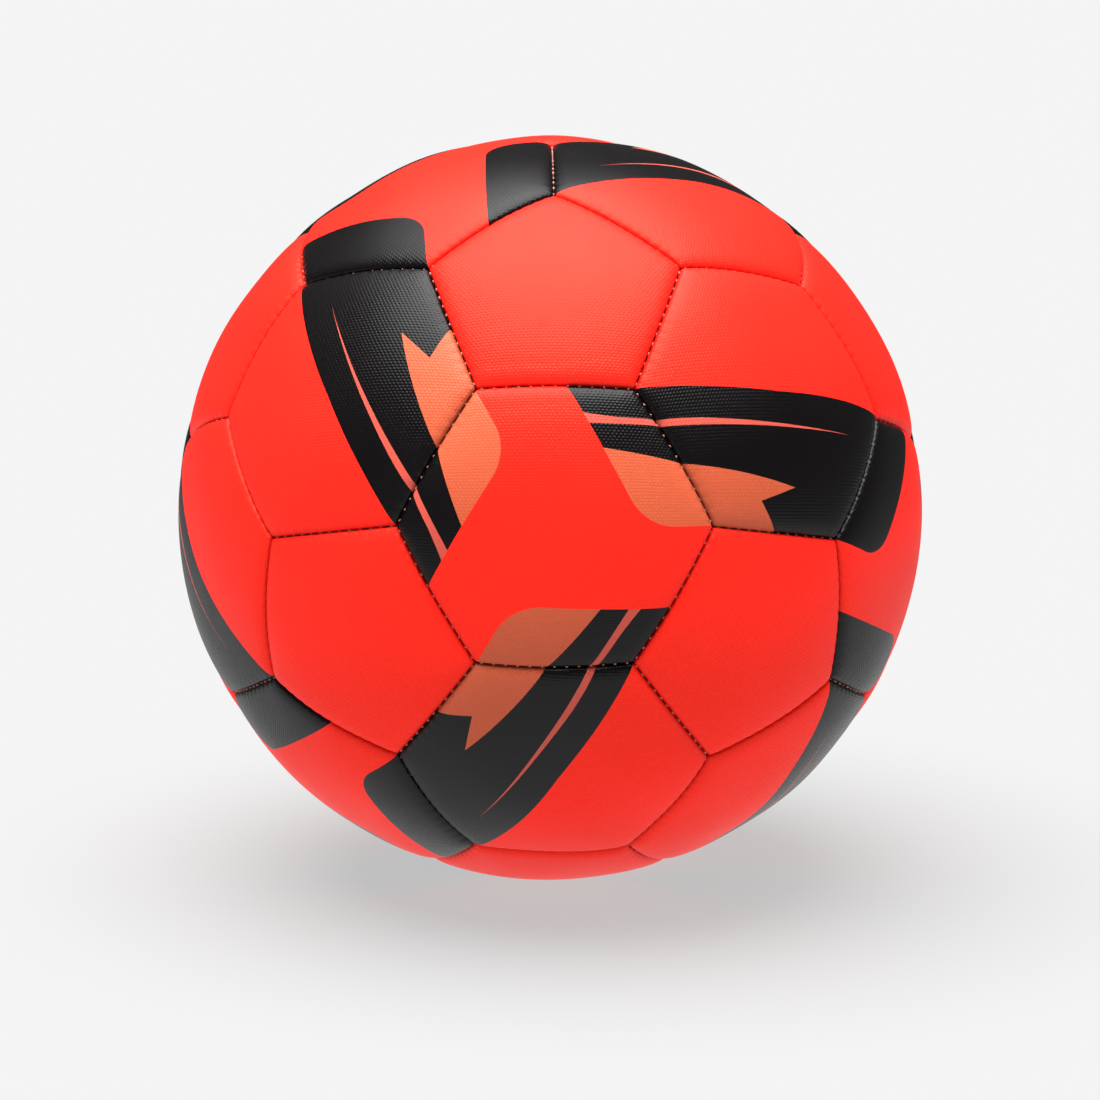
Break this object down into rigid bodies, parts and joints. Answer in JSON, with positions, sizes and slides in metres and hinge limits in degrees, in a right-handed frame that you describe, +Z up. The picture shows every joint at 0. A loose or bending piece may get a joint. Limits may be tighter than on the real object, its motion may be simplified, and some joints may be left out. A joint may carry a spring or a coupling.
{
  "type": "soccer ball",
  "caption": "Round stitched soccer ball of red pentagon and printed hexagon panels over a rubber bladder with a needle valve.",
  "frame": {"origin": "centre of the ball", "axes": "+Z up and -Y to the front as the ball rests in the picture; the printed hexagon in front leans 8.6 degrees back, and the valve is in the hexagon opposite it, which faces +Y and 8.6 degrees down; +X to the right"},
  "size_m": [0.2192, 0.2194, 0.2196],
  "materials": {
    "pentagon_cover": "satin synthetic leather with a fine embossed grid",
    "hexagon_cover": "satin synthetic leather with a fine embossed grid, printed in red, black and coral",
    "seam_thread": "waxed twisted polyester thread",
    "bladder_rubber": "matte",
    "valve_rubber": "matte",
    "patch_textile": "woven lining"
  },
  "bodies": {
    "root": {"pentagon_panel_01": "pentagon_cover", "pentagon_panel_02": "pentagon_cover", "pentagon_panel_03": "pentagon_cover", "pentagon_panel_04": "pentagon_cover", "pentagon_panel_05": "pentagon_cover", "pentagon_panel_06": "pentagon_cover", "pentagon_panel_07": "pentagon_cover", "pentagon_panel_08": "pentagon_cover", "pentagon_panel_09": "pentagon_cover", "pentagon_panel_10": "pentagon_cover", "pentagon_panel_11": "pentagon_cover", "pentagon_panel_12": "pentagon_cover", "hexagon_panel_01": "hexagon_cover", "hexagon_panel_02": "hexagon_cover", "hexagon_panel_03": "hexagon_cover", "hexagon_panel_04": "hexagon_cover", "hexagon_panel_05": "hexagon_cover", "hexagon_panel_06": "hexagon_cover", "hexagon_panel_07": "hexagon_cover", "hexagon_panel_08": "hexagon_cover", "hexagon_panel_09": "hexagon_cover", "hexagon_panel_10": "hexagon_cover", "hexagon_panel_11": "hexagon_cover", "hexagon_panel_12": "hexagon_cover", "hexagon_panel_13": "hexagon_cover", "hexagon_panel_14": "hexagon_cover", "hexagon_panel_15": "hexagon_cover", "hexagon_panel_16": "hexagon_cover", "hexagon_panel_17": "hexagon_cover", "hexagon_panel_18": "hexagon_cover", "hexagon_panel_19": "hexagon_cover", "valve_hexagon_panel": "hexagon_cover", "seam_thread_01": "seam_thread", "seam_thread_02": "seam_thread", "seam_thread_03": "seam_thread", "seam_thread_04": "seam_thread", "seam_thread_05": "seam_thread", "seam_thread_06": "seam_thread", "seam_thread_07": "seam_thread", "seam_thread_08": "seam_thread", "seam_thread_09": "seam_thread", "seam_thread_10": "seam_thread", "seam_thread_11": "seam_thread", "seam_thread_12": "seam_thread", "bladder": "bladder_rubber", "valve_body": "valve_rubber", "valve_plug": "valve_rubber", "valve_patch": "patch_textile"}
  },
  "joints": []
}
